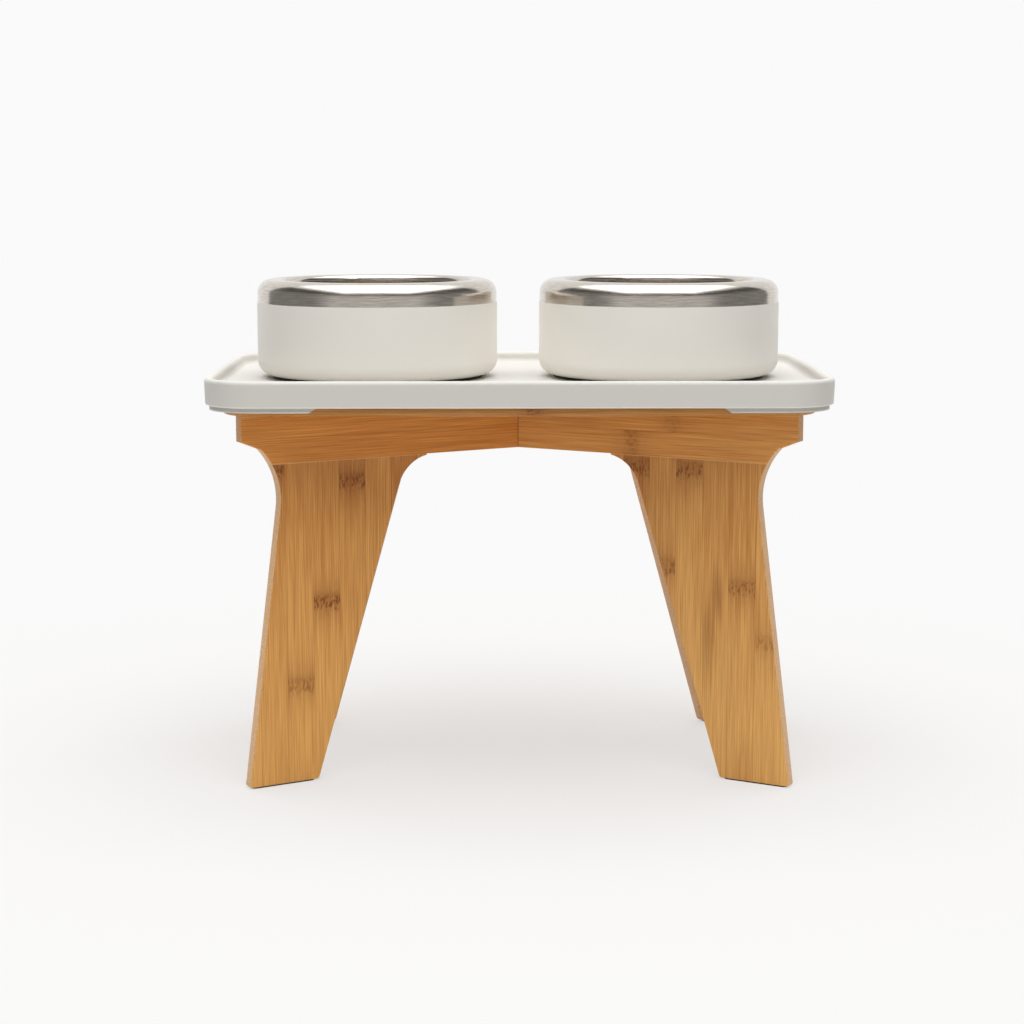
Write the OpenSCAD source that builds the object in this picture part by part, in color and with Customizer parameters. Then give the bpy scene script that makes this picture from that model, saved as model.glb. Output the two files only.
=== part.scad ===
// Raised dog feeder stand. Two bamboo panels cross under a board, a moulded tray
// caps the board, and two double-wall bowls stand in the tray.
// Millimetres, +Z up, +X along the tray. The origin is on the floor under the middle.

/* [Board] */
// Length of the board, along X
board_w = 424; // [400:1:480]
// Depth of the board, along Y
board_d = 252; // [240:1:290]
// Thickness of the board
board_t = 15; // [12:0.5:20]
// Corner radius of the board, seen from above
board_corner = 26; // [20:1:40]
// Radius that rounds the board's lower edge
board_edge = 4; // [2:0.5:6]
// Height of the board's top face above the floor
stand_h = 287; // [240:1:360]

/* [Crossed panels] */
// Thickness of each panel
panel_t = 10; // [9:0.5:14]
// Height of the rail at the top of each panel
rail_h = 36; // [32:1:48]
// Height of the upright face at a rail's end
rail_end_h = 19; // [14:1:24]
// Distance of a rail's ends inside the board's edges
rail_inset = 12.8; // [10:0.1:26]
// Slope of the underside behind a rail's end, in degrees
brow_angle = 22; // [10:1:35]
// Length of that slope along the rail
brow_w = 15.3; // [10:0.1:20]
// Radius of the hollow between a rail's end and its leg
throat_r = 53; // [40:1:65]
// Radius of the hollow between a rail and the inside of its leg
crotch_r = 30; // [15:1:40]
// Height of the blunt tip where a leg's inside hollow ends under the rail
tip_h = 1; // [0.5:0.5:3]
// Play on each face of the halved crossing
lap_play = 0.1; // [0.05:0.05:0.3]

/* [Legs] */
// Distance of a foot's outer corner inside the rail's end
foot_setback = 2.5; // [0:0.5:10]
// Width of a foot along its panel
foot_w = 54.5; // [44:0.5:64]
// Slope of a leg's outer edge from upright, in degrees
leg_out_angle = 7.6; // [5:0.1:10]
// Slope of a leg's inner edge from upright, in degrees
leg_in_angle = 17.7; // [15:0.1:20]
// Chamfer on the two corners of a foot
foot_chamfer = 1; // [0.5:0.5:4]
// Thickness of the rubber pad under a foot
pad_h = 1; // [0.8:0.1:3]
// Distance of the pad's edge inside the foot's edge
pad_inset = 1.5; // [0.5:0.1:2]

/* [Dowels and screws] */
// Diameter of a dowel between rail and leg
dowel_d = 6; // [4:0.5:7]
// Length of a dowel
dowel_len = 34; // [24:1:40]
// Distance of a dowel's axis from the leg's edge
dowel_edge = 18; // [12:1:22]
// Play round a dowel, and at each end
dowel_play = 0.1; // [0.05:0.05:0.2]
// Shank diameter of a screw through the board
screw_d = 4; // [3:0.5:5]
// Length of a screw, head included
screw_len = 40; // [30:1:45]
// Head diameter of a screw
screw_head_d = 8; // [7:0.5:10]
// Play round a screw in the board's hole
screw_play = 0.3; // [0.1:0.1:0.6]
// Play round a screw in the rail's pilot hole
pilot_play = 0.05; // [0.02:0.01:0.1]
// Depth of a screw's head below the board's top face
screw_sink = 0.4; // [0.2:0.1:1]
// Distance of the inner screws from the crossing
screw_reach = 60; // [40:1:70]

/* [Tray] */
// Thickness of the tray's floor
tray_floor_t = 3; // [2:0.5:5]
// Height of the rim above the tray's floor
rim_h = 8; // [5:0.1:12]
// Thickness of the rim at its rounded top
rim_w = 6; // [4:0.1:7]
// Distance that the skirt hangs below the tray's floor
skirt_drop = 8; // [5:0.5:10]
// Slope of the skirt's outer face, in degrees
skirt_draft = 2; // [0:0.5:3]
// Radius that rounds the skirt's lower edge
skirt_edge = 1; // [0.5:0.5:3]
// Radius between the tray's floor and its rim
tray_fillet = 3; // [1:0.5:4]
// Thickness of the corner tabs
tab_t = 8; // [2:0.5:10]
// Distance that the tabs hang below the skirt
tab_drop = 3.5; // [2:0.5:6]
// Distance of a tab's outer face inside the rim's outer face
tab_setback = 3.4; // [2.5:0.1:4]
// Length of a tab along the board's long and short sides, at its root
tab_run = 82; // [60:1:95]
// Shortening of a tab's end from root to tip
tab_slant = 5.5; // [2:0.5:8]
// Play between the tabs and the board's edge
tab_play = 0.8; // [0.4:0.1:2]

/* [Bowls] */
// Outer diameter of a bowl
bowl_d = 180; // [160:1:190]
// Height of a bowl, base ring included
bowl_h = 73; // [60:1:90]
// Distance between the two bowls' axes
bowl_pitch = 211.6; // [200:0.1:215]
// Height of the coat's upper edge above the tray's floor
coat_h = 56.3; // [45:0.1:60]
// Thickness of the coat over the bare steel
coat_t = 0.4; // [0.2:0.1:0.8]
// Thickness of the bowl's sheet
sheet_t = 1; // [0.6:0.1:1.5]
// Width of the rolled rim at a bowl's mouth
bead_w = 20; // [16:0.5:24]
// Radius of the rim's outer round
bead_out_r = 10; // [6:0.5:12]
// Radius of the rim's inner round
bead_in_r = 4; // [2:0.5:6]
// Radius at the foot of a bowl's outer wall
heel_r = 11; // [6:0.5:16]
// Radius between the bowl's inner wall and its floor
basin_r = 16; // [8:1:24]
// Height of the bowl's inner floor above the tray's floor
basin_h = 13; // [10:0.5:18]
// Length of the liner's skirt inside the outer shell
lap_len = 5; // [3:0.5:8]
// Play between the liner's skirt and the shell
lap_gap = 0.05; // [0.02:0.01:0.1]
// Height of the rubber base ring
ring_h = 2; // [2:0.5:5]
// Width of the rubber base ring
ring_w = 12; // [8:0.5:16]
// Overlap of the base plate on the shell's floor
base_lap = 3; // [2:0.5:5]

/* [Hidden] */
$fn = 96;

bamboo = "#B9793A";
bamboo_light = "#C68F4B";
black_rubber = "#2A2826";
white_plastic = "#ECEAE6";
white_coat = "#DDD8D1";
steel = "#9C9790";
// Overshoot of a cut past the face it leaves, and lap of halves that fuse
over = 1;

// Heights from the floor up
board_z = stand_h - board_t;
glue_z = board_z - rail_h;
brow_z = board_z - rail_end_h;
lap_z = glue_z + rail_h / 2;
tray_z = stand_h + tray_floor_t;

// Each panel points from corner to corner of the board
half_x = board_w / 2 - rail_inset;
half_y = board_d / 2 - rail_inset;
panel_angle = atan2(half_y, half_x);
reach = norm([half_x, half_y]);

// Corners of a panel's outline, as distance from the crossing and height
foot_out = reach - foot_setback;
foot_in = foot_out - foot_w;
rise = glue_z - pad_h;
brow_end = [reach - brow_w, brow_z - brow_w * tan(brow_angle)];
out_dir = [sin(leg_out_angle), -cos(leg_out_angle)];
in_dir = [sin(leg_in_angle), -cos(leg_in_angle)];
crotch = [foot_in - (rise - tip_h / 2) * tan(leg_in_angle), glue_z - tip_h / 2];

// Dowels stand between rail and leg, and a screw stands between each pair
neck_z = glue_z - dowel_len / 2;
neck_in = foot_in - (neck_z - pad_h) * tan(leg_in_angle);
neck_out = foot_out - (neck_z - pad_h) * tan(leg_out_angle);
dowel_at = [neck_in + dowel_edge, neck_out - dowel_edge];
screw_at = [screw_reach, (dowel_at[0] + dowel_at[1]) / 2];
head_h = (screw_head_d - screw_d) / 2;
screw_top = stand_h - screw_sink;

// The tray's walls stand round the board
tab_in = tab_play;
tab_out = tab_in + tab_t;
tray_grow = tab_out + tab_setback;
tray_w = board_w + 2 * tray_grow;
tray_d = board_d + 2 * tray_grow;
tray_corner = board_corner + tray_grow;
rim_z = tray_z + rim_h;
skirt_z = stand_h - skirt_drop;
tab_z = skirt_z - tab_drop;
skirt_in = tray_corner - tab_setback - tab_t / 10;

// Radii and heights of a bowl, from its own base
bowl_r = bowl_d / 2;
band_r = bowl_r - coat_t;
basin_wall_r = band_r - bead_w;
bead_out = [band_r - bead_out_r, bowl_h - bead_out_r];
bead_in = [basin_wall_r + bead_in_r, bowl_h - bead_in_r];
skirt_r = bowl_r - sheet_t - lap_gap;
ring_r = bowl_r - heel_r;
base_r = ring_r - ring_w;

// Centre of the arc of radius r that starts at k and runs out on the line through p
// down along v, on the line's outer side
function hollow_centre(k, p, v, r) =
    let (off = p + r * [-v[1], v[0]], back = (off - k) * v)
    off - v * (back - sqrt(pow(back, 2) - (off - k) * (off - k) + r * r));

// Where an arc of radius r rounds the corner k between the directions u and v:
// its end on u, its centre and its end on v
function rounding(k, u, v, r) =
    let (half = acos(u * v) / 2, run = r / tan(half))
    [k + u * run, k + (u + v) / norm(u + v) * r / sin(half), k + v * run];

// One half of a panel: rail and leg, from the crossing outwards
module half_panel() {
    heel = [foot_out, pad_h];
    throat = hollow_centre(brow_end, heel, out_dir, throat_r);
    hollow = rounding(crotch, in_dir, [-1, 0], crotch_r);
    tip = hollow[1][0] + sqrt(tip_h / 2 * (2 * crotch_r - tip_h / 2));
    difference() {
        polygon([[-over, board_z], [reach, board_z], [reach, brow_z], brow_end,
            throat, throat + throat_r * [out_dir[1], -out_dir[0]],
            heel - foot_chamfer * out_dir, heel - [foot_chamfer, 0],
            [foot_in + foot_chamfer, pad_h], [foot_in, pad_h] - foot_chamfer * in_dir,
            hollow[0], [tip, hollow[1][1]], [tip, glue_z], [-over, glue_z]]);
        intersection() {
            translate(throat) circle(r = throat_r);
            square([throat[0], brow_end[1]]);
        }
        translate(hollow[1]) circle(r = crotch_r);
    }
}

// Part of the half panel at or above the glue line, or below it
module half_rail() {
    intersection() {
        half_panel();
        translate([-over, glue_z]) square([reach + over, rail_h]);
    }
}

module leg_outline() {
    intersection() {
        half_panel();
        translate([0, pad_h]) square([reach, rise]);
    }
}

// Stands a flat outline up as a panel that runs along the given angle
module stand_up(angle) {
    rotate([90, 0, angle]) translate([0, 0, -panel_t / 2])
        linear_extrude(panel_t) children();
}

module dowel(play) {
    translate([0, 0, glue_z - dowel_len / 2 - play])
        cylinder(d = dowel_d + 2 * play, h = dowel_len + 2 * play);
}

module dowels(angle, play) {
    rotate([0, 0, angle])
        for (at = dowel_at) translate([at, 0, 0]) dowel(play);
}

// Countersunk screw, whose head can stand in a cut that runs out of the board's top
module screw(play, rise) {
    translate([0, 0, screw_top - screw_len]) cylinder(d = screw_d + 2 * play, h = screw_len);
    translate([0, 0, screw_top - head_h])
        cylinder(d1 = screw_d + 2 * play, d2 = screw_head_d + 2 * play, h = head_h);
    if (rise > 0)
        translate([0, 0, screw_top - over / 100])
            cylinder(d = screw_head_d + 2 * play, h = rise + over / 100);
}

module screws(angle, play, rise = 0) {
    rotate([0, 0, angle])
        for (at = screw_at) translate([at, 0, 0]) screw(play, rise);
}

// Full rail, halved at the crossing by the slab of the other panel
module rail(angle, cut_z, cut_h) {
    difference() {
        stand_up(angle) {
            half_rail();
            mirror([1, 0]) half_rail();
        }
        rotate([0, 0, -angle])
            translate([-reach, -panel_t / 2 - lap_play, cut_z])
                cube([2 * reach, panel_t + 2 * lap_play, cut_h]);
        for (turn = [0, 180]) {
            dowels(angle + turn, dowel_play);
            screws(angle + turn, pilot_play);
        }
    }
}

module leg(angle) {
    difference() {
        stand_up(angle) leg_outline();
        dowels(angle, dowel_play);
    }
}

// Pad with round ends under a foot
module foot_pad(angle) {
    end_r = panel_t / 2 - pad_inset;
    from = foot_in + foot_chamfer + pad_inset + end_r;
    to = foot_out - foot_chamfer - pad_inset - end_r;
    rotate([0, 0, angle]) linear_extrude(pad_h) {
        translate([from, -end_r]) square([to - from, 2 * end_r]);
        for (at = [from, to]) translate([at, 0]) circle(r = end_r);
    }
}

// Carries a section round a rounded rectangle. The section's x runs outwards
// from the corner centres, and r is the rectangle's corner radius.
module around(w, d, r) {
    x = w / 2 - r;
    y = d / 2 - r;
    for (quarter = [[x, y, 0], [-x, y, 90], [-x, -y, 180], [x, -y, 270]])
        translate([quarter[0], quarter[1], 0])
            rotate([0, 0, quarter[2]]) rotate_extrude(angle = 90) children();
    for (side = [[x, -y, 0, 2 * y], [x, y, 90, 2 * x], [-x, y, 180, 2 * y], [-x, -y, 270, 2 * x]])
        translate([side[0], side[1], 0])
            rotate([90, 0, side[2] + 180]) mirror([1, 0, 0]) linear_extrude(side[3]) children();
}

// Middle of a rounded rectangle, between its corner centres
module middle(w, d, r, z, h) {
    translate([r - w / 2, r - d / 2, z]) cube([w - 2 * r, d - 2 * r, h]);
}

module board_section() {
    translate([0, board_z]) {
        square([board_corner - board_edge, board_t]);
        translate([0, board_edge]) square([board_corner, board_t - board_edge]);
        translate([board_corner - board_edge, board_edge]) circle(r = board_edge);
    }
}

module top_board() {
    color(bamboo) difference() {
        union() {
            around(board_w, board_d, board_corner) board_section();
            middle(board_w, board_d, board_corner, board_z, board_t);
        }
        for (angle = [panel_angle, -panel_angle, 180 + panel_angle, 180 - panel_angle])
            screws(angle, screw_play, screw_sink + over);
    }
}

module over_rail() {
    color(bamboo) rail(panel_angle, glue_z - over, rail_h / 2 + over);
}

module under_rail() {
    color(bamboo) rail(-panel_angle, lap_z, rail_h / 2 + over);
}

module leg_back_right() { color(bamboo_light) leg(panel_angle); }
module leg_front_left() { color(bamboo_light) leg(180 + panel_angle); }
module leg_front_right() { color(bamboo_light) leg(-panel_angle); }
module leg_back_left() { color(bamboo_light) leg(180 - panel_angle); }

module foot_pad_back_right() { color(black_rubber) foot_pad(panel_angle); }
module foot_pad_front_left() { color(black_rubber) foot_pad(180 + panel_angle); }
module foot_pad_front_right() { color(black_rubber) foot_pad(-panel_angle); }
module foot_pad_back_left() { color(black_rubber) foot_pad(180 - panel_angle); }

module leg_dowels() {
    color(bamboo_light)
        for (angle = [panel_angle, -panel_angle, 180 + panel_angle, 180 - panel_angle])
            dowels(angle, 0);
}

module board_screws() {
    color(steel)
        for (angle = [panel_angle, -panel_angle, 180 + panel_angle, 180 - panel_angle])
            screws(angle, 0);
}

// Rim, skirt and the edge of the floor, with the round at the rim's top
module tray_section() {
    bead = rim_w / 2;
    slip = (rim_z - bead - skirt_z) * tan(skirt_draft);
    inner = tray_corner - rim_w;
    lip = [tray_corner - slip - skirt_edge, skirt_z + skirt_edge];
    polygon([[inner, tray_z], [inner, rim_z - bead], [tray_corner, rim_z - bead],
        lip + [skirt_edge, 0], lip, lip - [0, skirt_edge], [skirt_in, skirt_z],
        [skirt_in, stand_h], [0, stand_h], [0, tray_z]]);
    translate(lip) circle(r = skirt_edge);
    translate([tray_corner - bead, rim_z - bead]) circle(r = bead);
    translate([inner - tray_fillet, tray_z]) difference() {
        square(tray_fillet);
        translate([0, tray_fillet]) circle(r = tray_fillet);
    }
}

// Wall from which the corner tabs are cut
module tab_section() {
    translate([board_corner + tab_in, tab_z]) square([tab_t, stand_h + tray_floor_t / 2 - tab_z]);
}

// Outline of the ends of the tabs along one side, which are longer at the root
module tab_window(half) {
    root = half - tab_run;
    slope = tab_slant / (skirt_z - tab_z);
    top = tray_z + over;
    for (side = [0, 1]) mirror([side, 0])
        polygon([[root + tab_slant + slope * over, tab_z - over], [half, tab_z - over],
            [half, top], [root - slope * (top - skirt_z), top]]);
}

module tray() {
    color(white_plastic) {
        around(tray_w, tray_d, tray_corner) tray_section();
        middle(tray_w, tray_d, tray_corner, stand_h, tray_floor_t);
        intersection() {
            around(tray_w, tray_d, tray_corner) tab_section();
            rotate([90, 0, 0]) linear_extrude(tray_d, center = true) tab_window(tray_w / 2);
            rotate([90, 0, 90]) linear_extrude(tray_w, center = true) tab_window(tray_d / 2);
        }
    }
}

// Quarter of a bent sheet, whose faces have the radii r and r + t
module bend(centre, r, t, quarter) {
    translate(centre) rotate(quarter * 90) intersection() {
        difference() {
            circle(r = r + t);
            circle(r = r);
        }
        square(r + t);
    }
}

// Steel liner: basin, rolled rim and the skirt inside the shell
module liner_section() {
    skirt_top = coat_h + sheet_t;
    wall_z = basin_h + basin_r;
    translate([skirt_r - sheet_t, coat_h - lap_len]) square([sheet_t, skirt_top - coat_h + lap_len]);
    translate([band_r - sheet_t, coat_h]) square([sheet_t, bead_out[1] - coat_h]);
    bend(bead_out, bead_out_r - sheet_t, sheet_t, 0);
    translate([bead_in[0], bowl_h - sheet_t]) square([bead_out[0] - bead_in[0], sheet_t]);
    bend(bead_in, bead_in_r - sheet_t, sheet_t, 1);
    translate([basin_wall_r, wall_z]) square([sheet_t, bead_in[1] - wall_z]);
    bend([basin_wall_r - basin_r, wall_z], basin_r, sheet_t, 3);
    translate([0, basin_h - sheet_t]) square([basin_wall_r - basin_r, sheet_t]);
}

// Coated outer shell, open in the middle of its floor
module shell_section() {
    heel_z = ring_h + heel_r;
    translate([bowl_r - sheet_t, heel_z]) square([sheet_t, coat_h - heel_z]);
    bend([ring_r, heel_z], heel_r - sheet_t, sheet_t, 3);
    translate([base_r, ring_h]) square([ring_r - base_r, sheet_t]);
}

// Stands a bowl's section in the tray, left at -1 and right at 1
module bowl(side) {
    translate([side * bowl_pitch / 2, 0, tray_z]) rotate_extrude() children();
}

module bowl_liner(side) { color(steel) bowl(side) liner_section(); }
module bowl_shell(side) { color(white_coat) bowl(side) shell_section(); }

module bowl_base(side) {
    color(steel) bowl(side)
        translate([0, ring_h + sheet_t]) square([base_r + base_lap, sheet_t]);
}

module bowl_ring(side) {
    color(black_rubber) bowl(side) translate([base_r, 0]) square([ring_w, ring_h]);
}

top_board();
over_rail();
under_rail();
leg_front_left();
leg_front_right();
leg_back_left();
leg_back_right();
leg_dowels();
board_screws();
foot_pad_front_left();
foot_pad_front_right();
foot_pad_back_left();
foot_pad_back_right();
tray();
bowl_liner(-1);  // left_bowl_liner
bowl_shell(-1);  // left_bowl_shell
bowl_base(-1);  // left_bowl_base
bowl_ring(-1);  // left_bowl_ring
bowl_liner(1);  // right_bowl_liner
bowl_shell(1);  // right_bowl_shell
bowl_base(1);  // right_bowl_base
bowl_ring(1);  // right_bowl_ring
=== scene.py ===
"""Looks of a raised dog feeder stand: crossed bamboo panels, a moulded tray and two double-wall bowls.

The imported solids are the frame. The crossed panels are modelled again with eased edges and cut into
rails and legs, and every other solid keeps its shape and gets its finish.
"""
import logging
import math
from dataclasses import dataclass, field
from enum import Enum
from functools import reduce
from typing import Any, Callable, Iterable, Sequence

import bpy
from mathutils import Matrix, Vector


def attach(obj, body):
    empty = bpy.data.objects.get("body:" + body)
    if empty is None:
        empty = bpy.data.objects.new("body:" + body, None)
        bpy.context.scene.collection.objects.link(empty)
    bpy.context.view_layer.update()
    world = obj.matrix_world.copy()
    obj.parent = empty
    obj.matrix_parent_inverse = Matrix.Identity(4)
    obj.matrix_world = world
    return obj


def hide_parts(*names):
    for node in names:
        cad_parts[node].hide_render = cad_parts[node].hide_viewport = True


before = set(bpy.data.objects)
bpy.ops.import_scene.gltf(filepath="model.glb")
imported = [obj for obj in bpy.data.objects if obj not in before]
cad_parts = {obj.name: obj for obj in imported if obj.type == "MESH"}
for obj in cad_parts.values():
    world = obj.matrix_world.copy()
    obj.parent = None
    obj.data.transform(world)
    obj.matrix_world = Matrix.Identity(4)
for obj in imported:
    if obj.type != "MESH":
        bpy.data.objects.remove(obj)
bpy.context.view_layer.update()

LOG = logging.getLogger("feeder")
MM = 0.001
# How near a point counts as lying on a cutting plane, in metres
CUT_TOLERANCE = 1e-6
Point = tuple[float, float]
Tones = tuple[str, str]
Colour = tuple[float, float, float, float]
Tree = bpy.types.NodeTree
Node = bpy.types.Node


class Grain(Enum):
    """Which way the fibres run, as the axes across the strips, along them and through the thickness."""

    UPRIGHT = ("X", "Z", "Y")
    ALONG_PANEL = ("Z", "X", "Y")
    ALONG_TRAY = ("Y", "X", "Z")


class Side(Enum):
    """The two bowls, by the sign of their place along X."""

    LEFT = -1
    RIGHT = 1


class Face(Enum):
    """The faces of a rail or leg that have a finish of their own, by its place in the material list."""

    BROAD = 0
    EDGE = 1
    END = 2


def linear(colour: str) -> Colour:
    """Turns an sRGB hex colour into the linear colour that a shader takes.

    Args:
        colour: Six hex digits after a hash sign.

    Returns:
        Linear red, green and blue, and an alpha of 1.
    """
    parts = [int(colour[i:i + 2], 16) / 255 for i in (1, 3, 5)]
    low = [c / 12.92 if c <= 0.04045 else ((c + 0.055) / 1.055) ** 2.4 for c in parts]
    return (*low, 1.0)


def add(tree: Tree, kind: str, *values: Any, named: dict[str, Any] | None = None, **settings: Any) -> Node:
    """Adds one shader node with its settings, input values and links.

    Args:
        tree: Node tree that gets the node.
        kind: Node type without the ShaderNode prefix.
        *values: What the inputs in use get, in order: a value, a socket, or a node for its first output.
        named: What further inputs get, by name.
        **settings: Properties of the node itself.

    Returns:
        The new node.
    """
    node = tree.nodes.new("ShaderNode" + kind)
    for name, value in settings.items():
        setattr(node, name, value)
    pairs = list(zip([entry for entry in node.inputs if entry.enabled], values))
    pairs += [(node.inputs[name], value) for name, value in (named or {}).items()]
    for entry, value in pairs:
        if isinstance(value, bpy.types.Node):
            value = next(output for output in value.outputs if output.enabled)
        if isinstance(value, bpy.types.NodeSocket):
            tree.links.new(value, entry)
        else:
            entry.default_value = value
    return node


def falloff(tree: Tree, distance: Node, reach: float, power: float) -> Node:
    """Falls off softly from 1 to 0 with distance.

    Args:
        tree: The material's node tree.
        distance: Distance, in mm.
        reach: Distance at which it has mostly fallen, in mm.
        power: How sharply it falls there.

    Returns:
        A node from 0 to 1.
    """
    share = add(tree, "Math", distance, reach, operation="DIVIDE")
    steep = add(tree, "Math", share, power, operation="POWER")
    down = add(tree, "Math", steep, -1.0, operation="MULTIPLY")
    return add(tree, "Math", down, operation="EXPONENT")


def strongest(tree: Tree, marks: Sequence[Node]) -> Node | None:
    """Joins marks into one, so that the strongest shows at each place.

    Args:
        tree: The material's node tree.
        marks: Nodes from 0 to 1.

    Returns:
        A node from 0 to 1, or None where there are no marks.
    """
    if not marks:
        return None
    return reduce(lambda a, b: add(tree, "Math", a, b, operation="MAXIMUM"), marks)


def new_material(name: str) -> tuple[bpy.types.Material, Tree]:
    """Starts a material with an empty node tree.

    Args:
        name: Name of the material.

    Returns:
        The material and its node tree.
    """
    material = bpy.data.materials.new(name)
    material.use_nodes = True
    material.node_tree.nodes.clear()
    return material, material.node_tree


@dataclass(frozen=True)
class Knot:
    """A node band of the bamboo culm, which shows as a short brown mark one strip wide.

    Args:
        across: Place across the strips, in mm.
        along: Place along the grain, in mm.
        strength: How dark it is, from 0 to 1.
        half_mm: Half its length along the grain.
        cloud_mm: Half the length of the soft cloud round it.
    """

    across: float
    along: float
    strength: float = 1.0
    half_mm: float = 6.0
    cloud_mm: float = 16.0


@dataclass(frozen=True)
class Stain:
    """A soft brown patch in the bamboo, used for streaks, for the dark line where the rails meet and for
    painted shade.

    Args:
        across: Place of its middle across the strips, in mm.
        along: Place of its middle along the grain, in mm.
        width: Half its width, in mm.
        length: Half its length, in mm.
        strength: How dark it is, from 0 to 1.
    """

    across: float
    along: float
    width: float
    length: float
    strength: float


@dataclass(frozen=True)
class Bamboo:
    """Strip-laminated bamboo, sanded and lacquered: honey-coloured strips side by side, fine straight
    fibres, and brown node bands that stop at a strip's edges.

    Args:
        name: Name of the material.
        grain: Which way the fibres run.
        angle: Direction of the panel about Z.
        seed: Number that picks the tones of the strips.
        knots: Node bands.
        stains_and_shade: Brown streaks, and patches of painted shade.
        light: Colour of the palest fibres as sRGB hex.
        dark: Colour of the darkest fibres as sRGB hex.
        knot_brown: Colour of node bands, streaks and seams as sRGB hex.
        pale: Colour of the glue line and of the painted highlight on a rail's top edge as sRGB hex.
        strip_mm: Width of a strip.
        offset_mm: How far the strips are shifted across the grain.
        shade_gradient_mm: Places along the grain between which painted shade gives way to painted light, if
            it does.
        shade_gradient_tone: What the tone gains at those two places, as painted shade and painted light.
        least_tone: Tone of the darkest fibre, from 0 for dark to 1 for light.
        strip_tone: How much the tone differs from strip to strip.
        fibre_tone: How much the tone differs from fibre to fibre.
        fibre_mm: Width of a fibre, drawn as coarse as it needs to show.
        fibre_len_mm: Length of a fibre.
        fibre_depth_mm: Depth of the grooves between fibres.
        slip_mm: How far the fibres may slip from strip to strip.
        roughness: Roughness of the darkest and the palest fibres.
        tick_mm: Width and length of the ticks in a node band.
        ragged_mm: How far a node band wanders along the grain.
        band_share: How strongly a node band shows.
        cloud_share: How strongly the cloud round it shows.
        seam_mm: Half the width of the line between two strips.
        seam_share: How strongly that line shows.
        glue_mm: Place of the glue line along the grain, if there is one.
        glue_half_mm: Half the width of the glue line.
        arris_highlight_mm: Place across the strips past which the edge carries a painted highlight, if it
            does.
        pale_share: How strongly the glue line and the painted edge highlight show.
    """

    name: str
    grain: Grain
    angle: float = 0.0
    seed: float = 0.0
    knots: tuple[Knot, ...] = ()
    stains_and_shade: tuple[Stain, ...] = ()
    light: str = "#F0B867"
    dark: str = "#AA6220"
    knot_brown: str = "#84450F"
    pale: str = "#F2CF9A"
    strip_mm: float = 21.3
    offset_mm: float = 0.0
    shade_gradient_mm: tuple[float, float] | None = None
    shade_gradient_tone: tuple[float, float] = (-0.12, 0.3)
    least_tone: float = 0.06
    strip_tone: float = 0.18
    fibre_tone: float = 0.7
    fibre_mm: float = 0.55
    fibre_len_mm: float = 45.0
    fibre_depth_mm: float = 0.05
    slip_mm: float = 400.0
    roughness: tuple[float, float] = (0.36, 0.5)
    tick_mm: tuple[float, float] = (1.5, 4.0)
    ragged_mm: float = 9.0
    band_share: float = 0.6
    cloud_share: float = 0.36
    seam_mm: float = 0.18
    seam_share: float = 0.35
    glue_mm: float | None = None
    glue_half_mm: float = 0.45
    arris_highlight_mm: float | None = None
    pale_share: float = 0.45

    def material(self) -> bpy.types.Material:
        """Builds the material.

        Returns:
            The finished bamboo material.
        """
        material, tree = new_material(self.name)
        place = add(tree, "TexCoord").outputs["Object"]
        turned = add(tree, "Mapping", place, named={"Rotation": (0, 0, -self.angle)})
        axes = add(tree, "SeparateXYZ", turned).outputs
        across, along, depth = (add(tree, "Math", axes[a], 1 / MM, operation="MULTIPLY")
                                for a in self.grain.value)
        shifted = add(tree, "Math", across, self.offset_mm, operation="ADD")
        strip = add(tree, "Math", shifted, self.strip_mm, operation="DIVIDE")
        strip_id = add(tree, "Math", strip, operation="FLOOR")
        picked = add(tree, "Math", strip_id, self.seed, operation="ADD")
        chance = add(tree, "TexWhiteNoise", picked, noise_dimensions="1D")
        grid = add(tree, "CombineXYZ", across, along, depth)
        fibres = self.fibres(tree, grid, chance)
        wood = add(tree, "Mix", self.tone(tree, fibres, chance, along), linear(self.dark), linear(self.light),
                   data_type="RGBA")
        marks = ((self.seam_mask(tree, strip), self.knot_brown),
                 (self.knot_mask(tree, across, along, grid), self.knot_brown),
                 (self.stain_and_shade_mask(tree, across, along, fibres), self.knot_brown),
                 (self.glue_mask(tree, along), self.pale),
                 (self.arris_highlight_mask(tree, across), self.pale))
        for mask, colour in marks:
            if mask is not None:
                wood = add(tree, "Mix", mask, wood, linear(colour), data_type="RGBA")
        rough = add(tree, "MapRange", fibres, 0.0, 1.0, *self.roughness)
        bump = add(tree, "Bump", named={"Height": fibres, "Distance": self.fibre_depth_mm * MM,
                                        "Strength": 0.6})
        lacquered = add(tree, "BsdfPrincipled", named={"Base Color": wood, "Roughness": rough,
                                                       "Specular IOR Level": 0.3, "Normal": bump})
        add(tree, "OutputMaterial", lacquered)
        return material

    def fibres(self, tree: Tree, grid: Node, chance: Node) -> Node:
        """Draws fine straight fibres over broader ones, which slip from strip to strip.

        Args:
            tree: The material's node tree.
            grid: Place across the strips, along the grain and through the thickness, in mm.
            chance: The strip's own random number.

        Returns:
            A node from 0 to 1.
        """
        slip = add(tree, "CombineXYZ", 0.0, add(tree, "Math", chance, self.slip_mm, operation="MULTIPLY"))
        slipped = add(tree, "VectorMath", grid, slip, operation="ADD")
        sets = []
        for wider, longer, detail, roughness in ((2.2, 2.0, 2.0, 0.5), (1.0, 1.0, 3.0, 0.6)):
            width = self.fibre_mm * wider
            scale = (1 / width, 1 / (self.fibre_len_mm * longer), 1 / width)
            drawn = add(tree, "Mapping", slipped, named={"Scale": scale})
            sets.append(add(tree, "TexNoise", drawn, 1.0, detail, roughness))
        broad, fine = sets
        share = add(tree, "Math", broad, 0.36, operation="MULTIPLY")
        both = add(tree, "Math", fine, 0.64, share, operation="MULTIPLY_ADD")
        return add(tree, "MapRange", both, 0.34, 0.66)

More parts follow.
